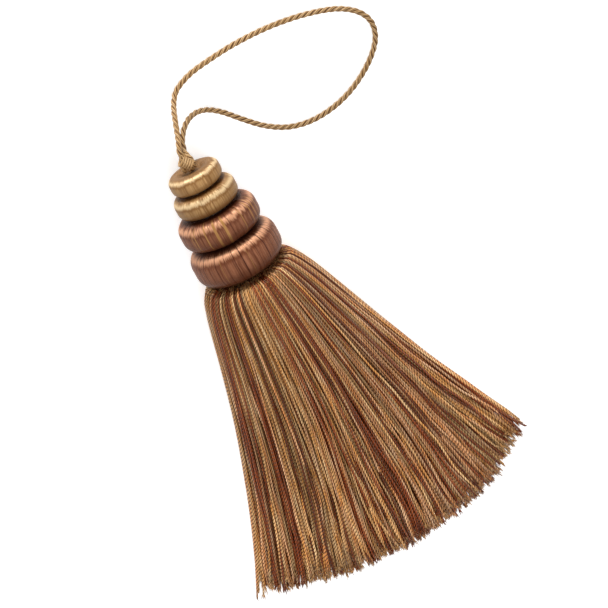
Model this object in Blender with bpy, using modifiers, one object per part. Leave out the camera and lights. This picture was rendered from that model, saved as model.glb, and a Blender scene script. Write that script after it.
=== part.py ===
"""Key tassel: a knotted hanging loop, four thread-wound ring moulds and a skirt of yarn locks.

Metres, +Z up. The tassel lies on its side on the plane Z = 0, with its axis along Y and its
loop towards +Y. The origin is the middle of the spot where the widest ring rests.
"""
import math
import random
from collections import namedtuple

import bmesh
import bpy
import numpy as np
from mathutils import Vector

MM = 0.001
GAP = 0.3 * MM

# Ring moulds, from the skirt to the loop. Height is the size along the tassel's axis, crest is
# the radius where a face stands highest, and dish and well are the depth and the floor radius
# of the hollow in the upper face.
Ring = namedtuple("Ring", "name radius height crest dish well finish")
RINGS = (
    Ring("lower_brown_ring", 15.75 * MM, 13.4 * MM, 9.0 * MM, 0.7 * MM, 3.0 * MM, "brown floss"),
    Ring("upper_brown_ring", 14.15 * MM, 10.8 * MM, 8.6 * MM, 0.6 * MM, 3.0 * MM, "brown floss"),
    Ring("lower_gold_ring", 11.1 * MM, 8.0 * MM, 6.9 * MM, 0.5 * MM, 2.6 * MM, "gold floss"),
    Ring("upper_gold_ring", 9.2 * MM, 6.7 * MM, 5.6 * MM, 1.3 * MM, 2.6 * MM, "gold floss"),
)
RING_STEPS = 40
SIDE_STEPS = 4
DISH_STEPS = 2
SIDE_FULLNESS = 2.3
LAND_SHARE = 0.2
MERGE = 0.00001

# The widest ring rests on one facet of its side, so the axis is this high.
AXIS_HEIGHT = RINGS[0].radius * math.cos(math.pi / RING_STEPS)
HEAD_BACK = -0.5 * RINGS[0].height
HEAD_FRONT = HEAD_BACK + sum(ring.height + GAP for ring in RINGS) - GAP

# Skirt: cross-sections of the whole bundle. Distance is from the underside of the widest ring,
# left and right are the half widths, top is its height, waist is the height of its widest line,
# foot is the height of its lowest line, and squareness fills its lower corners.
Section = namedtuple("Section", "distance left right top waist foot squareness")
SECTIONS = (
    Section(0.8 * MM, 14.1 * MM, 14.1 * MM, 29.8 * MM, 15.7 * MM, 1.6 * MM, 2.0),
    Section(2.0 * MM, 16.9 * MM, 17.4 * MM, 32.4 * MM, 15.0 * MM, 0.0, 2.3),
    Section(6.0 * MM, 18.3 * MM, 19.1 * MM, 33.4 * MM, 13.5 * MM, 0.0, 2.6),
    Section(14.0 * MM, 20.2 * MM, 22.2 * MM, 31.6 * MM, 10.0 * MM, 0.0, 3.4),
    Section(32.0 * MM, 24.2 * MM, 28.2 * MM, 24.5 * MM, 5.0 * MM, 0.0, 4.0),
    Section(62.0 * MM, 31.8 * MM, 39.6 * MM, 15.5 * MM, 2.0 * MM, 0.0, 4.0),
    Section(96.0 * MM, 42.6 * MM, 53.6 * MM, 10.2 * MM, 0.9 * MM, 0.0, 4.0),
    Section(132.0 * MM, 58.0 * MM, 70.0 * MM, 7.6 * MM, 0.7 * MM, 0.0, 4.0),
)
SECTION_SAMPLES = 241

# Locks: their places follow the golden share, which keeps them apart however flat the bundle.
# The lowest share of them lies level on the surface. A lock's path runs through the middle of
# its three-sided section, a base share above the flat side.
LOCK_COUNT = 160
GOLDEN_SHARE = 0.5 * (math.sqrt(5.0) - 1.0)
FLOOR_SHARE = 0.1
LOCK_WIDTH = 1.7 * MM
LOCK_HEIGHT = 1.2 * MM
BASE_SHARE = 1.0 / 3.0
Station = namedtuple("Station", "along scale")
LOCK_STATIONS = (
    Station(0.0, 0.6),
    Station(0.0093, 0.78),
    Station(0.04, 0.95),
    Station(0.1, 1.0),
    Station(0.28, 1.0),
    Station(0.6, 1.0),
    Station(1.0, 0.75),
)

# Cut ends: the middle lock's length, how fast the ends draw back towards the sides, and how
# uneven they are. Waves bend neighbouring locks alike, and the outermost locks lie apart.
SKIRT_LENGTH = 129.5 * MM
END_CURVE = 4.8
END_JITTER = 2.2 * MM
END_SETBACK = 3.0 * MM
WAVE_SIZE = 0.9 * MM
WAVE_TURNS = 1.3
WAVE_SPREAD = 2.1
LOOSE_LOCKS = 2
LOOSE_SPREAD = 1.8 * MM

# The backing that the locks grow from: radius and distance from the widest ring's underside.
# Its rim stands up round that ring's rounded edge.
ROOT_POINTS_MM = (
    (0.0, 0.3),
    (9.0, 0.3),
    (11.7, 0.02),
    (13.7, -0.95),
    (14.5, -1.2),
    (15.1, -0.6),
    (15.3, 0.4),
    (14.9, 2.0),
    (13.2, 4.2),
    (8.0, 6.2),
    (0.0, 7.0),
)
ROOT_STEPS = 40
SEED = 11

# Hanging loop: points that the cord passes through, in millimetres, from the knot's upper side
# down to the surface, round the loop and back to the knot's lower side.
CORD_DIAMETER = 2.0 * MM
ROUTE_MM = (
    (0.4, 39.4, 17.0),
    (0.7, 41.4, 16.9),
    (1.3, 43.6, 15.9),
    (2.1, 45.6, 13.0),
    (3.0, 47.9, 9.6),
    (4.3, 50.5, 6.2),
    (5.9, 52.7, 3.4),
    (8.0, 54.6, 1.7),
    (11.3, 56.2, 1.1),
    (15.9, 57.6, 1.1),
    (23.1, 58.5, 1.1),
    (32.2, 59.1, 1.1),
    (43.2, 58.8, 1.1),
    (53.5, 57.4, 1.1),
    (62.5, 55.1, 1.1),
    (69.2, 52.3, 1.1),
    (74.0, 48.4, 1.1),
    (76.2, 43.9, 1.1),
    (75.7, 39.2, 1.1),
    (72.7, 34.5, 1.1),
    (66.5, 29.4, 1.1),
    (58.6, 25.3, 1.1),
    (50.3, 23.2, 1.1),
    (42.2, 23.1, 1.1),
    (35.0, 25.1, 1.1),
    (28.6, 29.3, 1.1),
    (23.1, 35.0, 1.3),
    (18.4, 40.6, 2.1),
    (14.4, 44.3, 3.6),
    (10.8, 46.1, 5.8),
    (7.8, 46.4, 8.5),
    (5.2, 45.4, 11.1),
    (3.1, 43.7, 13.1),
    (1.6, 41.6, 14.2),
    (0.6, 39.4, 14.5),
)
ROUTE_SAMPLES = 24
TWIST_PITCH = 7.2 * MM
STEPS_A_TURN = 8
PLIES = 3
# One ply of the cord's cross-section: degrees round the cord, and the share of its radius.
PLY_POINTS = ((-32.0, 0.97), (32.0, 0.97), (60.0, 0.64))

# Knot: two crossed turns of cord round the doubled cord.
KNOT_LENGTH = 6.8 * MM
KNOT_Y = HEAD_FRONT - RINGS[-1].dish + GAP + 0.5 * KNOT_LENGTH
KNOT_TURN_RADIUS = 1.95 * MM
KNOT_CORD_RADIUS = 0.95 * MM
KNOT_TURN_TILT = math.radians(30.0)
KNOT_TURN_SHIFT = 1.05 * MM
KNOT_LEG_HEIGHT = 1.2 * MM
KNOT_LEG_SHARE = 1.37
KNOT_LEG_ROLL = math.radians(7.0)
KNOT_CORE_RADIUS = 1.8 * MM
KNOT_AROUND = 14
KNOT_ACROSS = 8

COLOURS = {
    "gold floss": (0.434, 0.262, 0.117),
    "brown floss": (0.262, 0.109, 0.058),
    "gold cord": (0.577, 0.352, 0.141),
    "mixed yarn": (0.35, 0.17, 0.06),
}
FLOSS_ROUGHNESS = 0.35
YARN_ROUGHNESS = 0.5


def clear_scene():
    """Remove what a new Blender file holds."""
    for old in list(bpy.data.objects):
        bpy.data.objects.remove(old, do_unlink=True)


def new_collection(name):
    """A collection in the scene, with this name."""
    collection = bpy.data.collections.new(name)
    bpy.context.scene.collection.children.link(collection)
    return collection


def thread_material(name, roughness):
    """A plain material in one of the tassel's thread colours."""
    material = bpy.data.materials.new(name)
    material.use_nodes = True
    shader = material.node_tree.nodes["Principled BSDF"]
    shader.inputs["Base Color"].default_value = (*COLOURS[name], 1.0)
    shader.inputs["Roughness"].default_value = roughness
    shader.inputs["Metallic"].default_value = 0.0
    return material


def add_object(name, data, collection, material=None):
    """An object for this mesh or curve, in this collection."""
    obj = bpy.data.objects.new(name, data)
    collection.objects.link(obj)
    if material:
        data.materials.append(material)
    return obj


def mesh_from_curve(curve_object, name, collection, material):
    """The curve object as a mesh object with its caps joined on."""
    bpy.context.view_layer.update()
    depsgraph = bpy.context.evaluated_depsgraph_get()
    mesh = bpy.data.meshes.new_from_object(curve_object.evaluated_get(depsgraph))
    mesh.name = name
    mesh.materials.clear()
    work = bmesh.new()
    work.from_mesh(mesh)
    bmesh.ops.remove_doubles(work, verts=work.verts, dist=MERGE)
    bmesh.ops.recalc_face_normals(work, faces=work.faces)
    work.to_mesh(mesh)
    work.free()
    obj = add_object(name, mesh, collection, material)
    obj.matrix_world = curve_object.matrix_world
    bpy.data.objects.remove(curve_object, do_unlink=True)
    return obj


def ring_profile(ring):
    """Radius and height of the ring's section, from the top's middle down to the bottom's."""
    half = 0.5 * ring.height
    land = LAND_SHARE * half
    points = [(0.0, half - ring.dish), (ring.well, half - ring.dish)]
    for step in range(1, DISH_STEPS):
        share = step / DISH_STEPS
        rise = 0.5 - 0.5 * math.cos(math.pi * share)
        radius = ring.well + share * (ring.crest - ring.well)
        points.append((radius, half - ring.dish * (1.0 - rise)))
    side = []
    for step in range(SIDE_STEPS + 1):
        angle = 0.5 * math.pi * step / SIDE_STEPS
        out = math.sin(angle) ** (2.0 / SIDE_FULLNESS)
        up = math.cos(angle) ** (2.0 / SIDE_FULLNESS)
        side.append((ring.crest + (ring.radius - ring.crest) * out, land + (half - land) * up))
    points += side
    points += [(radius, -height) for radius, height in reversed(side)]
    points.append((0.0, -half + ring.dish))
    return points


def turned_object(name, points, steps, collection, material=None):
    """A closed solid turned from a profile of radius and height, with its axis along Z."""
    mesh = bpy.data.meshes.new(name)
    corners = [(radius, 0.0, height) for radius, height in points]
    mesh.from_pydata(corners, [(n, n + 1) for n in range(len(corners) - 1)], [])
    obj = add_object(name, mesh, collection, material)
    screw = obj.modifiers.new("turn", "SCREW")
    screw.axis = "Z"
    screw.steps = steps
    screw.render_steps = steps
    screw.use_merge_vertices = True
    screw.merge_threshold = MERGE
    screw.use_smooth_shade = True
    return obj


def lay_along_axis(obj, y, steps):
    """Turn an upright solid so that it lies along Y on the tassel's axis, a facet down."""
    obj.rotation_euler = (-0.5 * math.pi, math.pi / steps, 0.0)
    obj.location = (0.0, y, AXIS_HEIGHT)


def make_rings(collection, materials):
    """The four ring moulds, one behind the other on the tassel's axis."""
    y = HEAD_BACK
    for ring in RINGS:
        material = materials[ring.finish]
        obj = turned_object(ring.name, ring_profile(ring), RING_STEPS, collection, material)
        lay_along_axis(obj, y + 0.5 * ring.height, RING_STEPS)
        y += ring.height + GAP


def section_at(distance):
    """The skirt's section at this distance, read between the rows of the table."""
    rows = np.array(SECTIONS)
    return Section(*(float(np.interp(distance, rows[:, 0], column)) for column in rows.T))


def section_outline(section, x):
    """The lowest and highest points of a section at the sideways places x."""
    share = np.clip(np.abs(x) / np.where(x < 0.0, section.left, section.right), 0.0, 1.0)
    upper = section.waist + (section.top - section.waist) * np.sqrt(1.0 - share ** 2)
    fill = (1.0 - share ** section.squareness) ** (1.0 / section.squareness)
    lower = section.waist - (section.waist - section.foot) * fill
    return lower, upper


def place_in_section(section, across, up, height):
    """The point with this share of the section to its left, and this share of the column below."""
    xs = np.linspace(-section.left, section.right, SECTION_SAMPLES)
    lower, upper = section_outline(section, xs)
    depth = upper - lower
    slices = 0.5 * (depth[1:] + depth[:-1]) * np.diff(xs)
    filled = np.concatenate(([0.0], np.cumsum(slices)))
    x = float(np.interp(across, filled / filled[-1], xs))
    low, high = section_outline(section, np.array([x]))
    room = max(float(high[0] - low[0]) - height, 0.0)
    rise = max(0.0, up - FLOOR_SHARE) / (1.0 - FLOOR_SHARE)
    return x, float(low[0]) + BASE_SHARE * height + room * rise


def lock_points(number, rng):
    """The points and scales of one lock, from its root inside the backing to its cut end."""
    across = (number + 0.5) / LOCK_COUNT
    up = (number * GOLDEN_SHARE) % 1.0
    rank = min(number, LOCK_COUNT - 1 - number)
    side = -1.0 if across < 0.5 else 1.0
    loose = max(0, LOOSE_LOCKS - rank)
    end_section = section_at(SKIRT_LENGTH)
    end_x, _ = place_in_section(end_section, across, up, LOCK_HEIGHT)
    length = SKIRT_LENGTH - END_CURVE * end_x ** 2 - END_SETBACK * up
    length += END_JITTER * rng.uniform(-1.0, 1.0)
    start = SECTIONS[0].distance
    points = []
    for station in LOCK_STATIONS:
        distance = start + station.along * (length - start)
        height = LOCK_HEIGHT * station.scale
        sink = 1.0 - station.along ** 3 if loose else 1.0
        x, z = place_in_section(section_at(distance), across, up * sink, height)
        wave = math.sin(2.0 * math.pi * (WAVE_TURNS * station.along + WAVE_SPREAD * across))
        x += WAVE_SIZE * station.along ** 2 * wave
        x += side * LOOSE_SPREAD * loose * station.along ** 3
        points.append(((x, HEAD_BACK - distance, z), station.scale))
    return points


def make_locks(collection, cutters, material):
    """All locks of the skirt in one mesh, each three-sided with its flat side down."""
    outline = bpy.data.curves.new("lock outline", "CURVE")
    corners = outline.splines.new("POLY")
    corners.points.add(2)
    half = 0.5 * LOCK_WIDTH
    below = -BASE_SHARE * LOCK_HEIGHT
    shape = ((-half, below), (half, below), (0.0, below + LOCK_HEIGHT))
    for point, (x, y) in zip(corners.points, shape):
        point.co = (x, y, 0.0, 1.0)
    corners.use_cyclic_u = True
    outline.dimensions = "2D"
    guide = add_object("lock outline", outline, cutters)
    guide.hide_render = True
    guide.display_type = "WIRE"

    curve = bpy.data.curves.new("locks", "CURVE")
    curve.dimensions = "3D"
    curve.twist_mode = "Z_UP"
    curve.bevel_mode = "OBJECT"
    curve.bevel_object = guide
    curve.use_fill_caps = True
    curve.resolution_u = 1
    curve.render_resolution_u = 0
    rng = random.Random(SEED)
    for number in range(LOCK_COUNT):
        stations = lock_points(number, rng)
        spline = curve.splines.new("POLY")
        spline.points.add(len(stations) - 1)
        for point, (place, scale) in zip(spline.points, stations):
            point.co = (*place, 1.0)
            point.radius = scale
    locks = add_object("locks", curve, collection)
    return mesh_from_curve(locks, "skirt", collection, material)


def make_skirt(collection, cutters, material):
    """The locks, joined at their roots to the backing."""
    skirt = make_locks(collection, cutters, material)
    profile = [(MM * radius, -MM * distance) for radius, distance in ROOT_POINTS_MM]
    root = turned_object("skirt root", profile, ROOT_STEPS, cutters)
    lay_along_axis(root, HEAD_BACK, ROOT_STEPS)
    root.hide_render = True
    root.display_type = "WIRE"
    union = skirt.modifiers.new("root", "BOOLEAN")
    union.operation = "UNION"
    union.solver = "EXACT"
    union.use_self = True
    union.object = root


def smooth_route(points, spacing):
    """Evenly spaced points on a smooth curve through the route's points."""
    ends = [2 * points[0] - points[1]] + list(points) + [2 * points[-1] - points[-2]]
    fine = []
    for a, b, c, d in zip(ends, ends[1:], ends[2:], ends[3:]):
        for step in range(ROUTE_SAMPLES):
            t = step / ROUTE_SAMPLES
            fine.append(0.5 * ((2.0 * b) + (c - a) * t + (2.0 * a - 5.0 * b + 4.0 * c - d) * t ** 2
                               + (3.0 * b - a - 3.0 * c + d) * t ** 3))
    fine.append(points[-1])
    lengths = [0.0]
    for here, there in zip(fine, fine[1:]):
        lengths.append(lengths[-1] + (there - here).length)
    count = round(lengths[-1] / spacing)
    targets = np.linspace(0.0, lengths[-1], count + 1)
    columns = [np.interp(targets, lengths, [p[axis] for p in fine]) for axis in range(3)]
    return [Vector(place) for place in zip(*columns)]


def make_loop(collection, cutters, material):
    """The cord of the hanging loop, with the twist of its three plies."""
    outline = bpy.data.curves.new("cord outline", "CURVE")
    outline.dimensions = "2D"
    corners = outline.splines.new("POLY")
    corners.points.add(PLIES * len(PLY_POINTS) - 1)
    polar = [(360.0 * ply / PLIES + turn, share) for ply in range(PLIES) for turn, share in PLY_POINTS]
    for point, (turn, share) in zip(corners.points, reversed(polar)):
        radius = 0.5 * CORD_DIAMETER * share
        angle = math.radians(turn)
        point.co = (radius * math.cos(angle), radius * math.sin(angle), 0.0, 1.0)
    corners.use_cyclic_u = True
    guide = add_object("cord outline", outline, cutters)
    guide.hide_render = True
    guide.display_type = "WIRE"

    curve = bpy.data.curves.new("hanging_loop", "CURVE")
    curve.dimensions = "3D"
    curve.twist_mode = "MINIMUM"
    curve.bevel_mode = "OBJECT"
    curve.bevel_object = guide
    curve.use_fill_caps = True
    curve.resolution_u = 1
    curve.render_resolution_u = 0
    route = smooth_route([MM * Vector(point) for point in ROUTE_MM], TWIST_PITCH / STEPS_A_TURN)
    spline = curve.splines.new("POLY")
    spline.points.add(len(route) - 1)
    for step, (point, place) in enumerate(zip(spline.points, route)):
        point.co = (*place, 1.0)
        point.tilt = -2.0 * math.pi * step / STEPS_A_TURN
    add_object("hanging_loop", curve, collection, material)


def knot_turn(name, shift, tilt, cutters):
    """One turn of cord round the knot, tilted as it lies."""
    bpy.ops.mesh.primitive_torus_add(
        major_radius=KNOT_TURN_RADIUS, minor_radius=KNOT_CORD_RADIUS,
        major_segments=KNOT_AROUND, minor_segments=KNOT_ACROSS,
        location=(0.0, KNOT_Y + shift, AXIS_HEIGHT), rotation=(0.5 * math.pi, 0.0, tilt))
    return keep_as_cutter(name, cutters)


def keep_as_cutter(name, cutters):
    """Name the newest primitive and put it with the cutters."""
    obj = bpy.context.active_object
    obj.name = name
    for collection in list(obj.users_collection):
        collection.objects.unlink(obj)
    cutters.objects.link(obj)
    obj.hide_render = True
    obj.display_type = "WIRE"
    return obj


def make_knot(collection, cutters, material):
    """The knot: the doubled cord with two crossed turns round it, as one solid."""
    work = bmesh.new()
    bmesh.ops.create_uvsphere(work, u_segments=KNOT_AROUND, v_segments=KNOT_ACROSS, radius=1.0)
    half = 0.5 * KNOT_LENGTH
    bmesh.ops.scale(work, vec=(KNOT_CORE_RADIUS, KNOT_CORE_RADIUS, half - GAP), verts=work.verts)
    mesh = bpy.data.meshes.new("loop_knot")
    work.to_mesh(mesh)
    work.free()
    knot = add_object("loop_knot", mesh, collection, material)
    knot.rotation_euler = (0.5 * math.pi, 0.0, 0.0)
    knot.location = (0.0, KNOT_Y, AXIS_HEIGHT)
    pieces = [
        knot_turn("knot lower turn", -KNOT_TURN_SHIFT, KNOT_TURN_TILT, cutters),
        knot_turn("knot upper turn", KNOT_TURN_SHIFT, -KNOT_TURN_TILT, cutters),
    ]
    for name, height in (("knot upper leg", KNOT_LEG_HEIGHT), ("knot lower leg", -KNOT_LEG_HEIGHT)):
        bpy.ops.mesh.primitive_cylinder_add(
            vertices=KNOT_ACROSS + 2, radius=KNOT_CORD_RADIUS, depth=KNOT_LEG_SHARE * half,
            location=(0.0, KNOT_Y + (1.0 - 0.5 * KNOT_LEG_SHARE) * half, AXIS_HEIGHT + height),
            rotation=(0.5 * math.pi, KNOT_LEG_ROLL, 0.0))
        pieces.append(keep_as_cutter(name, cutters))
    for piece in pieces:
        union = knot.modifiers.new(piece.name, "BOOLEAN")
        union.operation = "UNION"
        union.solver = "EXACT"
        union.use_self = True
        union.object = piece


def main():
    """Build the whole tassel."""
    clear_scene()
    tassel = new_collection("key tassel")
    cutters = new_collection("cutters")
    gold_cord = thread_material("gold cord", FLOSS_ROUGHNESS)
    floss = {name: thread_material(name, FLOSS_ROUGHNESS) for name in ("gold floss", "brown floss")}
    make_loop(tassel, cutters, gold_cord)
    make_knot(tassel, cutters, gold_cord)
    make_rings(tassel, floss)
    make_skirt(tassel, cutters, thread_material("mixed yarn", YARN_ROUGHNESS))


main()
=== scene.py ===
import math

import bpy
import numpy as np
from mathutils import Matrix, Vector


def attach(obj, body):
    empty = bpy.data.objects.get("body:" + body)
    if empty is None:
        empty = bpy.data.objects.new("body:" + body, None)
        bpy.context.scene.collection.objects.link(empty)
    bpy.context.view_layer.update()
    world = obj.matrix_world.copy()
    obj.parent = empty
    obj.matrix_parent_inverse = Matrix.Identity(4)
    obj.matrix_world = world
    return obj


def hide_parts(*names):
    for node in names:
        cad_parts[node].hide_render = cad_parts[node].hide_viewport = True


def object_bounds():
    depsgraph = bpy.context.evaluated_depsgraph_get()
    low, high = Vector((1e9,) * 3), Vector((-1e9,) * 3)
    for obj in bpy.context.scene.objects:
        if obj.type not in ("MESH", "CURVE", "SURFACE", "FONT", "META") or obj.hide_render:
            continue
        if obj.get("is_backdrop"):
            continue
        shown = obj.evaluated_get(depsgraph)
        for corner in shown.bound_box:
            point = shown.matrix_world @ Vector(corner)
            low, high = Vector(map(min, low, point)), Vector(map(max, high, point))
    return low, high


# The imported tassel
# The rings, knot, cord and skirt of the part, lying on their side on the plane Z = 0 with the
# tassel's axis along Y. Every piece below stands for one of them, in metres in the same frame.
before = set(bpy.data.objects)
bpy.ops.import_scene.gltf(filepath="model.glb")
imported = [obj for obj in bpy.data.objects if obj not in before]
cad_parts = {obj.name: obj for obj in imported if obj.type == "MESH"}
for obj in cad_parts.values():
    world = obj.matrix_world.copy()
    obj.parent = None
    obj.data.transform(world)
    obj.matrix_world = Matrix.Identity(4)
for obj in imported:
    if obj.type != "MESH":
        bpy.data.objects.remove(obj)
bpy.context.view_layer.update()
bpy.ops.object.select_all(action="DESELECT")
MM = 0.001

# Camera
# The photograph looks almost straight down, from a little to the loop's side. Its picture is
# rolled, so the tassel's axis leans to the upper left.
EYE = Vector((11.723, 249.945, 705.388)) * MM
LOOK_OFF_VERTICAL = math.radians(22.0)
LOOK_ROLL = math.radians(28.5)
NUDGE_RIGHT = -0.25 * MM
NUDGE_UP = 0.16 * MM
sideways = Vector((1.0, 0.0, 0.0))
backward = Vector((0.0, math.sin(LOOK_OFF_VERTICAL), math.cos(LOOK_OFF_VERTICAL)))
towards_loop = backward.cross(sideways)
picture_right = math.cos(LOOK_ROLL) * sideways - math.sin(LOOK_ROLL) * towards_loop
picture_up = math.sin(LOOK_ROLL) * sideways + math.cos(LOOK_ROLL) * towards_loop
bpy.ops.object.camera_add(location=EYE + NUDGE_RIGHT * picture_right + NUDGE_UP * picture_up)
camera = bpy.context.active_object
camera.name = "camera"
turn = Matrix((picture_right, picture_up, backward)).transposed()
camera.rotation_euler = turn.to_euler()
camera.data.sensor_width = 36.0
camera.data.lens = 129.56
camera.data.clip_start = 0.01
camera.data.clip_end = 20.0
bpy.context.scene.camera = camera

# Floor and studio light
# A plain white table, one large soft lamp beyond the loop as in the photograph, a soft one
# overhead, and pale light all round.
FLOOR_SINK = 0.06 * MM
bpy.ops.mesh.primitive_plane_add(size=6.0, location=(0.0, 0.0, -FLOOR_SINK))
floor = bpy.context.active_object
floor.name = "floor"
paper = bpy.data.materials.new("white table")
paper.use_nodes = True
paper_shader = paper.node_tree.nodes["Principled BSDF"]
paper_shader.inputs["Base Color"].default_value = (0.8, 0.8, 0.8, 1.0)
paper_shader.inputs["Roughness"].default_value = 0.9
paper_shader.inputs["Specular IOR Level"].default_value = 0.1
paper_shader.inputs["Emission Color"].default_value = (1.0, 1.0, 1.0, 1.0)
paper_shader.inputs["Emission Strength"].default_value = 0.5
floor.data.materials.append(paper)
floor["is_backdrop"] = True


def soft_lamp(name, place, size, power):
    """A square soft lamp at this place that shines on the tassel."""
    bpy.ops.object.light_add(type="AREA", location=place)
    lamp = bpy.context.active_object
    lamp.name = name
    lamp.data.size = size
    lamp.data.energy = power
    aim = Vector((0.0, -0.03, 0.01)) - Vector(place)
    lamp.rotation_euler = aim.to_track_quat("-Z", "Y").to_euler()


soft_lamp("low lamp beyond the loop", (0.1, 1.25, 0.21), 0.3, 14.0)
soft_lamp("lamp overhead", (0.08, -0.15, 1.27), 1.1, 13.0)
bpy.context.scene.view_settings.view_transform = "Standard"
surround = bpy.data.worlds.new("pale surround")
bpy.context.scene.world = surround
surround.use_nodes = True
surround.node_tree.nodes["Background"].inputs["Color"].default_value = (1.0, 1.0, 1.0, 1.0)
surround.node_tree.nodes["Background"].inputs["Strength"].default_value = 0.3

# Hanging loop
# A free gold cord of three plies twisted together, 2 mm across. It leaves the knot, drops to
# the table, lies there in one round loop and comes back up to the knot.
CORD_DIAMETER = 2.0 * MM
CORD_PITCH = 7.2 * MM
CORD_PLIES = 3
CORD_STEPS_A_TURN = 16
PLY_RADIUS = 0.5 * MM
PLY_OFFSET = 0.5 * MM
ROUTE_MM = (
    (-0.7, 38.7, 16.9),
    (-0.4, 40.6, 17.0),
    (0.6, 42.7, 15.7),
    (1.85, 45.3, 12.3),
    (3.0, 47.9, 9.6),
    (4.3, 50.5, 6.2),
    (5.9, 52.7, 3.4),
    (8.0, 54.6, 1.7),
    (11.3, 56.2, 1.1),
    (15.9, 57.6, 1.1),
    (23.1, 58.5, 1.1),
    (32.2, 59.1, 1.1),
    (43.2, 58.8, 1.1),
    (53.5, 57.4, 1.1),
    (62.5, 55.1, 1.1),
    (69.2, 52.3, 1.1),
    (74.0, 48.4, 1.1),
    (76.2, 43.9, 1.1),
    (75.7, 39.2, 1.1),
    (72.7, 34.5, 1.1),
    (66.5, 29.4, 1.1),
    (58.6, 25.3, 1.1),
    (50.3, 23.2, 1.1),
    (42.2, 23.1, 1.1),
    (35.0, 25.1, 1.1),
    (28.6, 29.3, 1.1),
    (23.1, 35.0, 1.3),
    (18.4, 40.6, 2.1),
    (14.4, 44.3, 3.6),
    (10.8, 46.1, 5.8),
    (7.8, 46.4, 8.5),
    (5.5, 45.7, 10.8),
    (3.6, 44.2, 12.3),
    (1.8, 41.9, 14.2),
    (0.9, 38.7, 15.0),
)
LINE_STEPS = 24


def smooth_line(points, spacing):
    """Evenly spaced points on a smooth curve through these points, and its length."""
    points = np.asarray(points, float)
    first = 2.0 * points[0] - points[1]
    last = 2.0 * points[-1] - points[-2]
    ends = np.vstack((first, points, last))
    fine = []
    for a, b, c, d in zip(ends, ends[1:], ends[2:], ends[3:]):
        for t in np.arange(LINE_STEPS) / LINE_STEPS:
            fine.append(0.5 * (2.0 * b + (c - a) * t + (2.0 * a - 5.0 * b + 4.0 * c - d) * t ** 2
                               + (3.0 * b - a - 3.0 * c + d) * t ** 3))
    fine = np.array(fine + [points[-1]])
    walked = np.concatenate(([0.0], np.cumsum(np.linalg.norm(np.diff(fine, axis=0), axis=1))))
    stops = np.linspace(0.0, walked[-1], round(walked[-1] / spacing) + 1)
    line = np.stack([np.interp(stops, walked, fine[:, axis]) for axis in range(3)], axis=1)
    return line, float(walked[-1])


def carried_frames(lines):
    """Directions along and across each line, carried along it without twisting."""
    ahead = np.gradient(lines, axis=1)
    ahead /= np.linalg.norm(ahead, axis=2, keepdims=True)
    start = np.where(np.abs(ahead[:, 0, 2:3]) < 0.9, [[0.0, 0.0, 1.0]], [[1.0, 0.0, 0.0]])
    side = np.zeros_like(lines)
    for step in range(lines.shape[1]):
        flat = start - np.sum(start * ahead[:, step], axis=1, keepdims=True) * ahead[:, step]
        side[:, step] = flat / np.linalg.norm(flat, axis=1, keepdims=True)
        start = side[:, step]
    return ahead, side, np.cross(ahead, side)


def twisted_plies(line, plies, pitch, offset):
    """The middle lines of the plies that twist round one cord's line."""
    _, side, other = carried_frames(line[None])
    walked = np.concatenate(([0.0], np.cumsum(np.linalg.norm(np.diff(line, axis=0), axis=1))))
    strands = []
    for ply in range(plies):
        angle = 2.0 * math.pi * (ply / plies - walked / pitch)[:, None]
        strands.append(line + offset * (np.cos(angle) * side[0] + np.sin(angle) * other[0]))
    return np.array(strands)


def tube_mesh(name, lines, radii, sides, material, tints, raised=None):
    """One mesh of closed round tubes along these lines. Its UV map runs once round each tube
    and along it in millimetres. Each tube's tint is an attribute, and so is how far each of its
    points is raised out of the grooves between tubes that twist together."""
    count, steps, _ = lines.shape
    _, side, other = carried_frames(lines)
    angle = (2.0 * math.pi * np.arange(sides) / sides)[None, None, :, None]
    spread = np.cos(angle) * side[:, :, None] + np.sin(angle) * other[:, :, None]
    thick = np.broadcast_to(radii, (count, steps))[:, :, None, None]
    corners = lines[:, :, None] + thick * spread
    tube = (np.arange(count) * steps * sides)[:, None, None]
    ring = (np.arange(steps - 1) * sides)[None, :, None]
    here = np.arange(sides)[None, None, :]
    there = (here + 1) % sides
    walls = np.stack((tube + ring + here, tube + ring + there,
                      tube + ring + sides + there, tube + ring + sides + here), axis=-1)
    round_start = (tube[:, 0] + np.arange(sides)[::-1][None]).tolist()
    round_end = (tube[:, 0] + (steps - 1) * sides + np.arange(sides)[None]).tolist()
    mesh = bpy.data.meshes.new(name)
    mesh.from_pydata(corners.reshape(-1, 3).tolist(), [],
                     walls.reshape(-1, 4).tolist() + round_start + round_end)
    walked = np.linalg.norm(np.diff(lines, axis=1), axis=2)
    walked = np.concatenate((np.zeros((count, 1)), np.cumsum(walked, axis=1)), axis=1) / MM
    turned = np.arange(sides + 1) / sides
    u = np.stack((turned[:-1], turned[1:], turned[1:], turned[:-1]), axis=-1)
    u = np.broadcast_to(u[None, None], walls.shape)
    v = np.stack((walked[:, :-1], walked[:, :-1], walked[:, 1:], walked[:, 1:]), axis=-1)
    v = np.broadcast_to(v[:, :, None], walls.shape)
    caps = np.zeros((2, count, sides, 2))
    caps[1, :, :, 1] = walked[:, -1:]
    chart = mesh.uv_layers.new(name="along the thread")
    round_walls = np.stack((u, v), axis=-1)
    chart.data.foreach_set("uv", np.concatenate((round_walls.ravel(), caps.ravel())))
    tint = mesh.attributes.new("tint", "FLOAT", "POINT")
    tint.data.foreach_set("value", np.repeat(np.asarray(tints, float), steps * sides))
    out = np.ones(count * steps * sides) if raised is None else raised(corners).ravel()
    mesh.attributes.new("raised", "FLOAT", "POINT").data.foreach_set("value", out)
    mesh.polygons.foreach_set("use_smooth", np.ones(len(mesh.polygons), bool))
    mesh.materials.append(material)
    mesh.update()
    tubes = bpy.data.objects.new(name, mesh)
    bpy.context.collection.objects.link(tubes)
    return tubes


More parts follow.
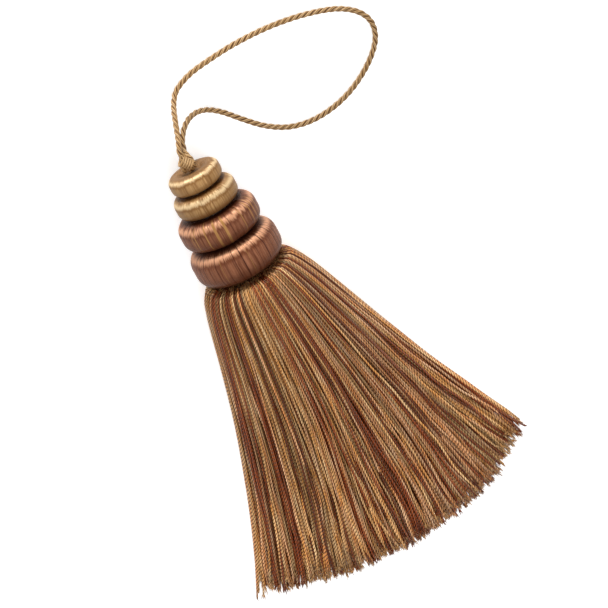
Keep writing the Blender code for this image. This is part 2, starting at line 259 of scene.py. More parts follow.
def feed(tree, socket, value):
    """Link a socket to this one, or give it this plain value."""
    if isinstance(value, bpy.types.NodeSocket):
        tree.links.new(value, socket)
    else:
        socket.default_value = value


def add_node(tree, kind, settings=None, **inputs):
    """A shader node with these settings and named inputs, with _ for a space."""
    node = tree.nodes.new(kind)
    for key, value in (settings or {}).items():
        setattr(node, key, value)
    for key, value in inputs.items():
        feed(tree, node.inputs[key.replace("_", " ")], value)
    return node


def sum_of(tree, operation, *values):
    """One Math node, with numbers or sockets as its values."""
    node = add_node(tree, "ShaderNodeMath", {"operation": operation})
    for socket, value in zip(node.inputs, values):
        feed(tree, socket, value)
    return node.outputs[0]


def vector_of(tree, operation, *values):
    """One Vector Math node, with sockets as its values."""
    node = add_node(tree, "ShaderNodeVectorMath", {"operation": operation})
    for socket, value in zip(node.inputs, values):
        feed(tree, socket, value)
    return node.outputs["Vector"]


def blend_of(tree, share, first, second):
    """One Mix node between two colours."""
    node = add_node(tree, "ShaderNodeMix", {"data_type": "RGBA"})
    feed(tree, node.inputs[0], share)
    feed(tree, node.inputs[6], first)
    feed(tree, node.inputs[7], second)
    return node.outputs[2]


def new_group(name, inputs, outputs):
    """An empty shader node group with these named sockets, and its two end nodes."""
    group = bpy.data.node_groups.new(name, "ShaderNodeTree")
    for label, kind, value in inputs:
        socket = group.interface.new_socket(label, in_out="INPUT", socket_type=kind)
        socket.default_value = value
    for label, kind in outputs:
        group.interface.new_socket(label, in_out="OUTPUT", socket_type=kind)
    return group, group.nodes.new("NodeGroupInput"), group.nodes.new("NodeGroupOutput")


# The twist of any thread here: ridges that wind round it, with painted shade between them, and
# fine fibres that run along each ridge. The height is 0 between the ridges and about 1 on them.
COLOUR = "NodeSocketColor"
NUMBER = "NodeSocketFloat"
twist, twist_in, twist_out = new_group(
    "thread twist",
    (("Colour", COLOUR, (0.5, 0.5, 0.5, 1.0)), ("Painted Groove Shade Colour", COLOUR, (0.1, 0.1, 0.1, 1.0)),
     ("Faded Colour", COLOUR, (0.6, 0.6, 0.6, 1.0)), ("Ridges", NUMBER, 2.0),
     ("Turn Length", NUMBER, 2.4), ("Fibre Contrast", NUMBER, 0.3), ("Twist At Root", NUMBER, 1.0),
     ("Shade Spread", NUMBER, 0.1), ("Painted Root Shading", NUMBER, 1.0), ("Painted End Shading", NUMBER, 1.0)),
    (("Colour", COLOUR), ("Height", NUMBER)))
chart = add_node(twist, "ShaderNodeUVMap", {"uv_map": "along the thread"})
places = add_node(twist, "ShaderNodeSeparateXYZ", Vector=chart.outputs["UV"])
tint = add_node(twist, "ShaderNodeAttribute", {"attribute_name": "tint"})
turned = sum_of(twist, "ADD", places.outputs["X"],
                sum_of(twist, "DIVIDE", places.outputs["Y"], twist_in.outputs["Turn Length"]))
turned = sum_of(twist, "ADD", sum_of(twist, "MULTIPLY", turned, twist_in.outputs["Ridges"]),
                sum_of(twist, "MULTIPLY", tint.outputs["Fac"], 7.0))
across = sum_of(twist, "MULTIPLY_ADD", sum_of(twist, "FRACT", turned), 2.0, -1.0)
ridge = sum_of(twist, "SUBTRACT", 1.0, sum_of(twist, "MULTIPLY", across, across))
fibre_place = add_node(
    twist, "ShaderNodeCombineXYZ", X=sum_of(twist, "MULTIPLY", turned, 5.0),
    Y=sum_of(twist, "MULTIPLY", places.outputs["Y"], 0.5),
    Z=sum_of(twist, "MULTIPLY", tint.outputs["Fac"], 90.0))
fibres = add_node(twist, "ShaderNodeTexNoise", {"noise_dimensions": "3D"},
                  Vector=fibre_place.outputs["Vector"], Scale=1.0, Detail=2.0)
stain_place = add_node(
    twist, "ShaderNodeCombineXYZ", X=sum_of(twist, "MULTIPLY", places.outputs["Y"], 0.09),
    Y=sum_of(twist, "MULTIPLY", tint.outputs["Fac"], 60.0))
stains = add_node(twist, "ShaderNodeTexNoise", {"noise_dimensions": "2D"},
                  Vector=stain_place.outputs["Vector"], Scale=1.0, Detail=2.0)
# Painted shade in the grooves between the ridges, and between plies where a point lies low.
raised = add_node(twist, "ShaderNodeAttribute", {"attribute_name": "raised"})
painted_lit_share = add_node(twist, "ShaderNodeMapRange", {"interpolation_type": "SMOOTHSTEP"},
               Value=sum_of(twist, "MULTIPLY", ridge, raised.outputs["Fac"]),
               From_Min=0.18, From_Max=0.95)
# The twist opens from the root to past the middle, in millimetres along a thread.
opened = add_node(twist, "ShaderNodeMapRange", Value=places.outputs["Y"],
                  From_Min=8.0, From_Max=75.0,
                  To_Min=twist_in.outputs["Twist At Root"], To_Max=1.0)
painted_groove_shade = sum_of(twist, "SUBTRACT", 1.0, painted_lit_share.outputs["Result"])
painted_groove_shade = sum_of(twist, "MULTIPLY", opened.outputs["Result"], painted_groove_shade)
closed = sum_of(twist, "SUBTRACT", 1.0, painted_groove_shade)
fade = add_node(twist, "ShaderNodeMapRange", Value=stains.outputs["Fac"],
                From_Min=0.35, From_Max=0.7)
dyed = blend_of(twist, fade.outputs["Result"],
                twist_in.outputs["Colour"], twist_in.outputs["Faded Colour"])
painted_groove_shaded = blend_of(twist, closed, twist_in.outputs["Painted Groove Shade Colour"], dyed)
fibre_shade = sum_of(twist, "MULTIPLY_ADD",
                     sum_of(twist, "SUBTRACT", fibres.outputs["Fac"], 0.5),
                     twist_in.outputs["Fibre Contrast"], 1.0)
# Each thread's own shade: partly a random tone, partly painted shade that darkens some threads at random,
# as the shade between yarns would.
own_shade = sum_of(twist, "FRACT", sum_of(twist, "MULTIPLY", tint.outputs["Fac"], 17.3))
darkest = sum_of(twist, "MULTIPLY_ADD", twist_in.outputs["Shade Spread"], -0.5, 1.0)
own_shade = sum_of(twist, "MULTIPLY_ADD", own_shade, twist_in.outputs["Shade Spread"], darkest)
# Painted shading: a thread is darker or lighter near its root and towards its end, in millimetres along
# it.
painted_root_shading = add_node(twist, "ShaderNodeMapRange", Value=places.outputs["Y"],
                     From_Min=8.0, From_Max=75.0,
                     To_Min=twist_in.outputs["Painted Root Shading"], To_Max=1.0)
painted_end_shading = add_node(twist, "ShaderNodeMapRange", Value=places.outputs["Y"],
                  From_Min=60.0, From_Max=125.0,
                  To_Min=1.0, To_Max=twist_in.outputs["Painted End Shading"])
fibre_shade = sum_of(twist, "MULTIPLY", fibre_shade, painted_root_shading.outputs["Result"])
fibre_shade = sum_of(twist, "MULTIPLY", fibre_shade, painted_end_shading.outputs["Result"])
fibre_shade = sum_of(twist, "MULTIPLY", fibre_shade, own_shade)
shaded = add_node(twist, "ShaderNodeVectorMath", {"operation": "SCALE"},
                  Vector=painted_groove_shaded, Scale=fibre_shade)
twist.links.new(shaded.outputs["Vector"], twist_out.inputs["Colour"])
ridge_height = sum_of(twist, "MULTIPLY", opened.outputs["Result"], 0.85)
height = sum_of(twist, "MULTIPLY_ADD", fibres.outputs["Fac"], 0.25,
                sum_of(twist, "MULTIPLY", ridge, ridge_height))
twist.links.new(height, twist_out.inputs["Height"])


def thread_material(name, values, depth, roughness, glint):
    """A twisted thread's material. Depth is the height of its ridges."""
    material = bpy.data.materials.new(name)
    material.use_nodes = True
    tree = material.node_tree
    shader = tree.nodes["Principled BSDF"]
    winding = tree.nodes.new("ShaderNodeGroup")
    winding.node_tree = twist
    for key, value in values.items():
        winding.inputs[key].default_value = value
    bump = add_node(tree, "ShaderNodeBump", Strength=1.0, Distance=depth,
                    Height=winding.outputs["Height"])
    tree.links.new(winding.outputs["Colour"], shader.inputs["Base Color"])
    tree.links.new(bump.outputs["Normal"], shader.inputs["Normal"])
    shader.inputs["Roughness"].default_value = roughness
    shader.inputs["Specular IOR Level"].default_value = glint
    shader.inputs["Specular Tint"].default_value = (1.0, 0.9, 0.74, 1.0)
    return material


CORD_RIDGE = 0.05 * MM
CORD_ROUGHNESS = 0.4
CORD_GLINT = 0.5
# Painted shade darkens the cord from 60 to 125 mm along it, and past that.
gold_cord = thread_material(
    "gold cord",
    {"Colour": (0.5, 0.3, 0.115, 1.0), "Painted Groove Shade Colour": (0.12, 0.045, 0.013, 1.0),
     "Faded Colour": (0.65, 0.42, 0.2, 1.0), "Ridges": 5.0, "Turn Length": 9.0,
     "Fibre Contrast": 0.6, "Painted End Shading": 0.82},
    CORD_RIDGE, CORD_ROUGHNESS, CORD_GLINT)
route, cord_length = smooth_line(MM * np.array(ROUTE_MM), CORD_PITCH / CORD_STEPS_A_TURN)
loop_plies = twisted_plies(route, CORD_PLIES, CORD_PITCH, PLY_OFFSET)


def out_of(core, reach):
    """How far points stand out from the cord's own line, from 0 in its grooves to 1."""
    def raised(corners):
        away = np.linalg.norm(corners - core[None, :, None], axis=-1)
        return np.clip((away / reach - 0.55) / 0.35, 0.0, 1.0)
    return raised


PLY_SIDES = 10
PLY_TINTS = (0.1, 0.45, 0.8)
hanging_loop = tube_mesh("cord_of_the_hanging_loop", loop_plies, PLY_RADIUS, PLY_SIDES, gold_cord,
                         PLY_TINTS, out_of(route, 0.5 * CORD_DIAMETER))
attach(hanging_loop, "root")
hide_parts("hanging_loop")

# Knot
# The cord's two ends lie side by side, and five turns of it, pulled thin and tilted, wrap them
# tightly. Below the turns the ends go down into the hollow of the top ring.
KNOT_MIDDLE = Vector((-0.6, 36.0, 16.0)) * MM
KNOT_TILT = math.radians(37.0)
KNOT_POINTS = 61
KNOT_PITCH = 5.6 * MM
WRAP_RADIUS_MM = 1.85
WRAP_THICK_MM = 0.44


def knot_turn(radius, along_neck):
    """The line of one turn of the knot, tilted on the cords that it wraps."""
    round_it = np.radians(np.linspace(-96.0, 276.0, KNOT_POINTS))
    x = radius * np.cos(round_it) * math.cos(KNOT_TILT) - along_neck * math.sin(KNOT_TILT)
    y = radius * np.cos(round_it) * math.sin(KNOT_TILT) + along_neck * math.cos(KNOT_TILT)
    return np.array(KNOT_MIDDLE) + MM * np.stack((x, y, radius * np.sin(round_it)), axis=1)


def bend_through(points):
    """An evenly stepped line through these points about the knot, in millimetres."""
    line, _ = smooth_line(np.array(KNOT_MIDDLE) + MM * np.array(points), 0.02 * MM)
    return line[np.linspace(0, len(line) - 1, KNOT_POINTS).round().astype(int)]


# The two ends, and the core between them: half thickness, and points in millimetres
KNOT_ENDS = (
    (0.85, ((0.2, 3.2, 0.9), (-0.5, 1.9, 1.0), (-1.1, 0.4, 0.7), (-1.5, -1.3, 0.4), (-1.6, -3.2, 0.0))),
    (0.85, ((1.4, 3.2, -0.9), (1.8, 2.1, 0.0), (2.2, 0.8, 0.4), (2.4, -0.7, 0.2), (2.1, -3.0, -0.2))),
    (1.1, ((0.4, 3.2, 0.0), (0.4, 1.4, 0.0), (0.4, -1.0, -0.2), (0.6, -3.8, -0.3))),
)
knot_cords = [(bend_through(points), thick * MM) for thick, points in KNOT_ENDS]
for along_neck in (1.25, 0.4, -0.45, -1.3, -2.1):
    knot_cords.append((knot_turn(WRAP_RADIUS_MM, along_neck), WRAP_THICK_MM * MM))
knot_plies = []
knot_radii = []
for line, thick in knot_cords:
    drawn_thin = 0.25 if thick < 0.5 * MM else 0.5
    knot_plies.append(twisted_plies(line, CORD_PLIES, KNOT_PITCH, drawn_thin * thick))
    knot_radii.append(np.full((CORD_PLIES, 1), (1.0 - drawn_thin) * thick))


def out_of_knot_cords(corners):
    """How far points stand out of the grooves of the knot's cords."""
    shown = []
    for number, (line, thick) in enumerate(knot_cords):
        plies = corners[CORD_PLIES * number:CORD_PLIES * (number + 1)]
        shown.append(out_of(line, thick)(plies))
    return np.concatenate(shown)


# The knot's cord is painted a little lighter, to make up for the shade that its tight turns cast on each
# other.
knot_cord = thread_material(
    "gold cord of the knot, painted lighter",
    {"Colour": (0.56, 0.34, 0.135, 1.0), "Painted Groove Shade Colour": (0.14, 0.052, 0.015, 1.0),
     "Faded Colour": (0.73, 0.48, 0.23, 1.0), "Ridges": 5.0, "Turn Length": 9.0,
     "Fibre Contrast": 0.6},
    CORD_RIDGE, CORD_ROUGHNESS, CORD_GLINT)
KNOT_SIDES = 8
knot = tube_mesh("knot_of_the_hanging_loop", np.concatenate(knot_plies),
                 np.concatenate(knot_radii), KNOT_SIDES, knot_cord,
                 np.linspace(0.05, 0.95, CORD_PLIES * len(knot_cords)), out_of_knot_cords)
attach(knot, "root")
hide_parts("loop_knot")

# Ring moulds
# Four turned wooden rings, each smaller than the last, wound all over with fine silky floss that
# runs down the hollow, out over the crest, down the side and under. Gold above, brown below.
AXIS_HEIGHT = 15.701 * MM
HEAD_BACK = -6.7 * MM
RING_GAP_MM = 0.3
SIDE_FULLNESS = 2.3
SIDE_POINTS = 12
LAND_SHARE = 0.2
DISH_STEPS = 8
THREAD_WIDTH = 0.34 * MM
TURN_STEPS = 960
MERGE = 0.002 * MM
# name, node, radius, height, crest, dish, well and place of the painted highlight on the crest along
# a thread in millimetres, how light the floss is, and which floss
RINGS = (
    ("lower_brown_winding", "lower_brown_ring", 15.75, 13.4, 9.0, 0.7, 3.0, 14.3, 1.16, "brown"),
    ("upper_brown_winding", "upper_brown_ring", 14.15, 10.8, 8.6, 0.6, 3.0, 13.8, 1.12, "brown"),
    ("lower_gold_winding", "lower_gold_ring", 11.1, 8.0, 6.9, 0.5, 2.6, 11.2, 1.04, "gold"),
    ("upper_gold_winding", "upper_gold_ring", 9.2, 6.7, 5.6, 1.3, 2.6, 9.05, 1.12, "gold"),
)
# Stray threads, where the photograph shows them and a few on the far side: degrees round the
# ring from its top, and width in millimetres
GOLD_STRAYS = {
    "upper_brown_winding": ((-10.6, 1.0), (3.5, 1.0), (-26.0, 0.45), (-43.8, 0.4), (-49.0, 0.3),
                            (31.7, 0.3), (49.0, 0.4), (58.0, 0.4), (68.0, 0.4), (118.0, 0.6),
                            (-150.0, 0.7)),
    "lower_brown_winding": ((-25.0, 0.15), (12.0, 0.15), (80.0, 0.3), (-140.0, 0.3)),
}
DARK_STRAYS = {
    "upper_gold_winding": ((-30.0, 0.15), (18.0, 0.15), (52.0, 0.2), (-62.0, 0.2)),
    "lower_gold_winding": ((-12.0, 0.15), (6.0, 0.12), (41.0, 0.2), (-50.0, 0.15)),
    "upper_brown_winding": ((11.9, 0.25), (-4.0, 0.15), (-18.4, 0.2), (-33.7, 0.2), (-56.0, 0.25),
                            (45.0, 0.25), (54.0, 0.3), (62.5, 0.25), (72.0, 0.3), (-68.0, 0.3),
                            (160.0, 0.4)),
    "lower_brown_winding": ((3.7, 0.4), (-6.2, 0.3), (-8.6, 0.2), (-18.7, 0.2), (-32.4, 0.3),
                            (-43.0, 0.15), (-51.8, 0.3), (-60.0, 0.25), (-68.0, 0.3), (18.6, 0.15),
                            (24.5, 0.25), (37.5, 0.4), (48.0, 0.2), (57.5, 0.35), (66.0, 0.25),
                            (74.0, 0.3), (130.0, 0.4), (-120.0, 0.4)),
}

# The lay of the floss: one height and one tone for every thread round the ring, bundles of
# threads that lie together, a painted highlight along the crest with painted shade under it,
# painted shade down in the hollow and at the foot, and the strays.
lay, lay_in, lay_out = new_group(
    "floss lay",
    (("Colour", COLOUR, (0.4, 0.2, 0.1, 1.0)), ("Shade Colour", COLOUR, (0.2, 0.1, 0.05, 1.0)),
     ("Light Colour", COLOUR, (0.5, 0.3, 0.2, 1.0)),
     ("Gold Stray Colour", COLOUR, (0.4, 0.25, 0.1, 1.0)),
     ("Dark Stray Colour", COLOUR, (0.05, 0.02, 0.01, 1.0)),
     ("Painted Crevice Shade Colour", COLOUR, (0.05, 0.02, 0.01, 1.0)),
     ("Painted Highlight Colour", COLOUR, (0.6, 0.4, 0.2, 1.0)), ("Threads", NUMBER, 300.0),
     ("Painted Hollow Shade Start", NUMBER, 3.0), ("Painted Hollow Shade End", NUMBER, 9.0), ("Painted Highlight Place", NUMBER, 14.0),
     ("Painted Highlight Width", NUMBER, 1.5), ("Painted Foot Shade Start", NUMBER, 20.0), ("Painted Foot Shade End", NUMBER, 24.0),
     ("Raggedness", NUMBER, 1.0)),
    (("Colour", COLOUR), ("Height", NUMBER), ("Lean", NUMBER)))
chart = add_node(lay, "ShaderNodeUVMap", {"uv_map": "along the thread"})
places = add_node(lay, "ShaderNodeSeparateXYZ", Vector=chart.outputs["UV"])
counted = sum_of(lay, "MULTIPLY", places.outputs["X"], lay_in.outputs["Threads"])
wander_place = add_node(lay, "ShaderNodeCombineXYZ", X=sum_of(lay, "MULTIPLY", counted, 0.12),
                        Y=sum_of(lay, "MULTIPLY", places.outputs["Y"], 0.25))
wander = add_node(lay, "ShaderNodeTexNoise", {"noise_dimensions": "2D"},
                  Vector=wander_place.outputs["Vector"], Scale=1.0, Detail=1.0)
counted = sum_of(lay, "ADD", counted, sum_of(lay, "MULTIPLY", wander.outputs["Fac"], 2.0))
across = sum_of(lay, "MULTIPLY_ADD", sum_of(lay, "FRACT", counted), 2.0, -1.0)
thread = sum_of(lay, "SUBTRACT", 1.0, sum_of(lay, "MULTIPLY", across, across))
one_thread = add_node(lay, "ShaderNodeTexWhiteNoise", {"noise_dimensions": "1D"},
                      W=sum_of(lay, "FLOOR", counted))
bundle_place = add_node(lay, "ShaderNodeCombineXYZ", X=sum_of(lay, "MULTIPLY", counted, 0.45),
                        Y=sum_of(lay, "MULTIPLY", places.outputs["Y"], 0.06))
bundles = add_node(lay, "ShaderNodeTexNoise", {"noise_dimensions": "2D"},
                   Vector=bundle_place.outputs["Vector"], Scale=1.0, Detail=3.0, Roughness=0.6)
shade = add_node(lay, "ShaderNodeMapRange", Value=bundles.outputs["Fac"],
                 From_Min=0.3, From_Max=0.62)
light = add_node(lay, "ShaderNodeMapRange", Value=one_thread.outputs["Value"],
                 From_Min=0.6, From_Max=1.0, To_Max=0.55)
dyed = blend_of(lay, shade.outputs["Result"], lay_in.outputs["Shade Colour"], lay_in.outputs["Colour"])
dyed = blend_of(lay, light.outputs["Result"], dyed, lay_in.outputs["Light Colour"])
bundle_off = sum_of(lay, "SUBTRACT", bundles.outputs["Fac"], 0.5)
thread_off = sum_of(lay, "SUBTRACT", one_thread.outputs["Value"], 0.5)
uneven = sum_of(lay, "ADD", sum_of(lay, "MULTIPLY", bundle_off, 1.6),
                sum_of(lay, "MULTIPLY", thread_off, 0.9))
ragged = sum_of(lay, "MULTIPLY_ADD", uneven, lay_in.outputs["Raggedness"], places.outputs["Y"])
# Painted shade: a darker band just under the painted highlight on the crest.
painted_shade_under_highlight = sum_of(lay, "MULTIPLY_ADD", lay_in.outputs["Painted Highlight Width"], 0.95,
                     lay_in.outputs["Painted Highlight Place"])
under = add_node(lay, "ShaderNodeMapRange", {"interpolation_type": "SMOOTHSTEP"},
                 Value=sum_of(lay, "ABSOLUTE", sum_of(lay, "SUBTRACT", ragged, painted_shade_under_highlight)),
                 From_Min=sum_of(lay, "MULTIPLY", lay_in.outputs["Painted Highlight Width"], 0.8),
                 From_Max=0.0, To_Max=0.95)
dyed = blend_of(lay, under.outputs["Result"], dyed, lay_in.outputs["Shade Colour"])
# Painted highlight: a light band along the crest, with ragged edges.
off_painted_highlight = sum_of(lay, "ABSOLUTE", sum_of(lay, "SUBTRACT", ragged, lay_in.outputs["Painted Highlight Place"]))
crest = add_node(lay, "ShaderNodeMapRange", {"interpolation_type": "SMOOTHSTEP"}, Value=off_painted_highlight,
                 From_Min=lay_in.outputs["Painted Highlight Width"], From_Max=0.0, To_Max=0.85)
dyed = blend_of(lay, crest.outputs["Result"], dyed, lay_in.outputs["Painted Highlight Colour"])
gold_stray = add_node(lay, "ShaderNodeAttribute", {"attribute_name": "gold stray"})
dark_stray = add_node(lay, "ShaderNodeAttribute", {"attribute_name": "dark stray"})
dyed = blend_of(lay, gold_stray.outputs["Fac"], dyed, lay_in.outputs["Gold Stray Colour"])
dyed = blend_of(lay, dark_stray.outputs["Fac"], dyed, lay_in.outputs["Dark Stray Colour"])
# Painted shade: darker down into the hollow, and at the foot.
hollow = add_node(lay, "ShaderNodeMapRange", {"interpolation_type": "SMOOTHSTEP"}, Value=ragged,
                  From_Min=lay_in.outputs["Painted Hollow Shade Start"], From_Max=lay_in.outputs["Painted Hollow Shade End"])
dyed = blend_of(lay, hollow.outputs["Result"], lay_in.outputs["Painted Crevice Shade Colour"], dyed)
foot = add_node(lay, "ShaderNodeMapRange", {"interpolation_type": "SMOOTHSTEP"}, Value=ragged,
                From_Min=lay_in.outputs["Painted Foot Shade Start"], From_Max=lay_in.outputs["Painted Foot Shade End"], To_Max=0.7)
dyed = blend_of(lay, foot.outputs["Result"], dyed, lay_in.outputs["Painted Crevice Shade Colour"])
lay.links.new(dyed, lay_out.inputs["Colour"])
lean = sum_of(lay, "ADD", bundle_off, sum_of(lay, "MULTIPLY", thread_off, 0.35))
lay.links.new(lean, lay_out.inputs["Lean"])
height = sum_of(lay, "MULTIPLY_ADD", bundles.outputs["Fac"], 1.6, sum_of(lay, "MULTIPLY", thread, 0.6))
height = sum_of(lay, "MULTIPLY_ADD", one_thread.outputs["Value"], 0.35, height)
lay.links.new(height, lay_out.inputs["Height"])


def floss_material(name, values, tint):
    """Silky floss: its gloss spreads across the threads, so it lies along the crest as a band,
    and threads that lean to either side catch the light or lose it."""
    material = bpy.data.materials.new(name)
    material.use_nodes = True
    tree = material.node_tree
    shader = tree.nodes["Principled BSDF"]
    winding = tree.nodes.new("ShaderNodeGroup")
    winding.node_tree = lay
    for key, value in values.items():
        winding.inputs[key].default_value = value
    bump = add_node(tree, "ShaderNodeBump", Strength=1.0, Distance=0.07 * MM,
                    Height=winding.outputs["Height"])
    upright = bump.outputs["Normal"]
    tangent = add_node(tree, "ShaderNodeTangent",
                       {"direction_type": "UV_MAP", "uv_map": "along the thread"})
    round_ring = tangent.outputs["Tangent"]
    down_thread = vector_of(tree, "CROSS_PRODUCT", upright, round_ring)
    leaning = add_node(tree, "ShaderNodeVectorMath", {"operation": "SCALE"}, Vector=down_thread,
                       Scale=sum_of(tree, "MULTIPLY", winding.outputs["Lean"], 0.45))
    leaned = vector_of(tree, "ADD", upright, leaning.outputs["Vector"])
    tree.links.new(winding.outputs["Colour"], shader.inputs["Base Color"])
    tree.links.new(vector_of(tree, "NORMALIZE", leaned), shader.inputs["Normal"])
    tree.links.new(round_ring, shader.inputs["Tangent"])
    shader.inputs["Metallic"].default_value = 0.15
    shader.inputs["Roughness"].default_value = 0.34
    shader.inputs["Anisotropic"].default_value = 0.8
    shader.inputs["Specular IOR Level"].default_value = 0.2
    shader.inputs["Specular Tint"].default_value = tint
    return material


FLOSS = {
    "gold": {"Colour": (0.36, 0.2, 0.075, 1.0), "Shade Colour": (0.22, 0.1, 0.03, 1.0),
             "Light Colour": (0.47, 0.28, 0.12, 1.0), "Gold Stray Colour": (0.5, 0.3, 0.1, 1.0),
             "Dark Stray Colour": (0.13, 0.045, 0.012, 1.0), "Painted Crevice Shade Colour": (0.11, 0.038, 0.009, 1.0),
             "Painted Highlight Colour": (0.76, 0.55, 0.31, 1.0)},
    "brown": {"Colour": (0.2, 0.073, 0.035, 1.0), "Shade Colour": (0.115, 0.034, 0.015, 1.0),
              "Light Colour": (0.28, 0.115, 0.058, 1.0), "Gold Stray Colour": (0.34, 0.17, 0.055, 1.0),
              "Dark Stray Colour": (0.045, 0.01, 0.005, 1.0), "Painted Crevice Shade Colour": (0.048, 0.012, 0.005, 1.0),
              "Painted Highlight Colour": (0.63, 0.32, 0.18, 1.0)},
}
GLOSS_TINT = {"gold": (1.0, 0.93, 0.75, 1.0), "brown": (1.0, 0.72, 0.58, 1.0)}
RAGGEDNESS = {"gold": 0.6, "brown": 1.1}

ring_back = HEAD_BACK
for name, node, radius, height, crest, dish, well, painted_highlight_place, lightness, floss in RINGS:
    half = 0.5 * height
    land = LAND_SHARE * half
    profile = [(0.0, half - dish), (0.5 * well, half - dish), (well, half - dish)]
    for share in np.arange(1, DISH_STEPS) / DISH_STEPS:
        rise = 0.5 - 0.5 * math.cos(math.pi * share)
        profile.append((well + share * (crest - well), half - dish * (1.0 - rise)))
    side = []
    for angle in np.radians(np.linspace(0.0, 90.0, SIDE_POINTS)):
        out = math.sin(angle) ** (2.0 / SIDE_FULLNESS)
        up = max(math.cos(angle), 0.0) ** (2.0 / SIDE_FULLNESS)
        side.append((crest + (radius - crest) * out, land + (half - land) * up))
    profile += side + [(r, -h) for r, h in reversed(side)] + [(0.0, dish - half)]
    middle = ring_back + half * MM

    # The section is drawn point by point, then turned once round the axis.
    corners = [Vector((0.0, h, -r)) * MM for r, h in profile]
    bpy.ops.mesh.primitive_plane_add(size=0.1 * MM, location=(0.0, middle, AXIS_HEIGHT))
    ring = bpy.context.active_object
    ring.name = name
    bpy.ops.object.mode_set(mode="EDIT")
    bpy.ops.mesh.select_all(action="SELECT")
    bpy.ops.mesh.merge(type="CENTER")
    bpy.ops.transform.translate(value=corners[0])
    for here, there in zip(corners, corners[1:]):
        bpy.ops.mesh.extrude_region_move(TRANSFORM_OT_translate={"value": there - here})
    bpy.ops.object.mode_set(mode="OBJECT")
    turning = ring.modifiers.new("turning", "SCREW")
    turning.axis = "Y"
    turning.steps = TURN_STEPS
    turning.render_steps = TURN_STEPS
    turning.use_merge_vertices = True
    turning.merge_threshold = MERGE
    bpy.ops.object.modifier_apply(modifier=turning.name)
    bpy.ops.object.transform_apply(location=True, rotation=False, scale=False)
    bpy.ops.object.mode_set(mode="EDIT")
    bpy.ops.mesh.select_all(action="SELECT")
    bpy.ops.mesh.remove_doubles(threshold=MERGE)
    bpy.ops.mesh.normals_make_consistent(inside=False)
    bpy.ops.object.mode_set(mode="OBJECT")
    bpy.ops.object.shade_smooth()

    # The map counts once round the ring, starting at the table, and along a thread it is in
    # millimetres. A face that crosses the start goes on past 1.
    mesh = ring.data
    place = np.array([corner.co for corner in mesh.vertices])
    out = np.hypot(place[:, 0], place[:, 2] - AXIS_HEIGHT)
    turn = np.degrees(np.arctan2(place[:, 0], place[:, 2] - AXIS_HEIGHT))
    drawn = MM * np.array(profile)
    walked = np.concatenate(([0.0], np.cumsum(np.linalg.norm(np.diff(drawn, axis=0), axis=1))))
    nearest = np.argmin(np.hypot(out[:, None] - drawn[None, :, 0],
                                 (place[:, 1] - middle)[:, None] - drawn[None, :, 1]), axis=1)
    along = walked[nearest] / MM
    face_corner = np.array([loop.vertex_index for loop in mesh.loops])
    face_of = np.repeat(np.arange(len(mesh.polygons)), [len(face.vertices) for face in mesh.polygons])
    corner_turn = turn[face_corner] / 360.0 + 0.5
    on_axis = out[face_corner] < 0.01 * MM
    face_count = len(mesh.polygons)
    high = np.full(face_count, -1.0)
    np.maximum.at(high, face_of[~on_axis], corner_turn[~on_axis])
    wraps = (high[face_of] - corner_turn > 0.5) & ~on_axis
    corner_turn = np.where(wraps, corner_turn + 1.0, corner_turn)
    total = np.bincount(face_of[~on_axis], corner_turn[~on_axis], face_count)
    number = np.bincount(face_of[~on_axis], minlength=face_count)
    corner_turn = np.where(on_axis, (total / number)[face_of], corner_turn)
    chart = mesh.uv_layers[0]
    chart.name = "along the thread"
    chart.data.foreach_set("uv", np.stack((corner_turn, along[face_corner]), axis=1).ravel())
    for kind, strays in (("gold stray", GOLD_STRAYS), ("dark stray", DARK_STRAYS)):
        shown = np.zeros(len(place))
        for middle_turn, width in strays.get(name, ()):
            off = np.abs((turn - middle_turn + 180.0) % 360.0 - 180.0) * math.pi / 180.0 * radius
            strength = min(1.0, 0.3 + 1.6 * width)
            shown = np.maximum(shown, strength * np.clip((0.4 * width + 0.1 - off) / 0.1, 0.0, 1.0))
        mesh.attributes.new(kind, "FLOAT", "POINT").data.foreach_set("value", shown)
    threads = round(2.0 * math.pi * radius * MM / THREAD_WIDTH)
    slope = radius - crest

    # Painted shade on a ring's foot, which lies in the shade of the next ring, starts where its side
    # turns under.
    low_side = walked[len(profile) // 2 + 3] / MM
    values = {}
    for label, (red, green, blue, alpha) in FLOSS[floss].items():
        values[label] = (lightness * red, lightness * green, lightness * blue, alpha)
    values.update({"Threads": threads, "Painted Highlight Place": painted_highlight_place, "Painted Highlight Width": 0.33 * slope,
                   "Painted Hollow Shade Start": painted_highlight_place - 3.6, "Painted Hollow Shade End": painted_highlight_place - 0.5,
                   "Painted Foot Shade Start": low_side + 0.3 * slope, "Painted Foot Shade End": low_side + 1.1 * slope,
                   "Raggedness": RAGGEDNESS[floss]})
    if node == "upper_gold_ring":
        # Nothing covers the top ring's hollow, so its painted shade is lighter and starts closer to the
        # crest.
        values.update({"Painted Crevice Shade Colour": (0.24, 0.12, 0.043, 1.0),
                       "Painted Hollow Shade Start": painted_highlight_place - 1.5, "Painted Hollow Shade End": painted_highlight_place - 0.2})
    ring.data.materials.append(floss_material(name.replace("_", " "), values, GLOSS_TINT[floss]))
    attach(ring, "root")
    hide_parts(node)
    ring_back += (height + RING_GAP_MM) * MM

# Skirt
# Some thousand two-ply yarns in gold, tan and red-brown. They are sewn in close rows under
# the lowest ring, swell out past it and fan down to the table, cut by hand at the ends.
YARN_COUNT = 1100
YARN_RADIUS = 0.4 * MM
YARN_SIDES = 5
YARN_LENGTH = 129.5 * MM
FLOOR_SHARE = 0.1
GOLDEN_SHARE = 0.5 * (math.sqrt(5.0) - 1.0)
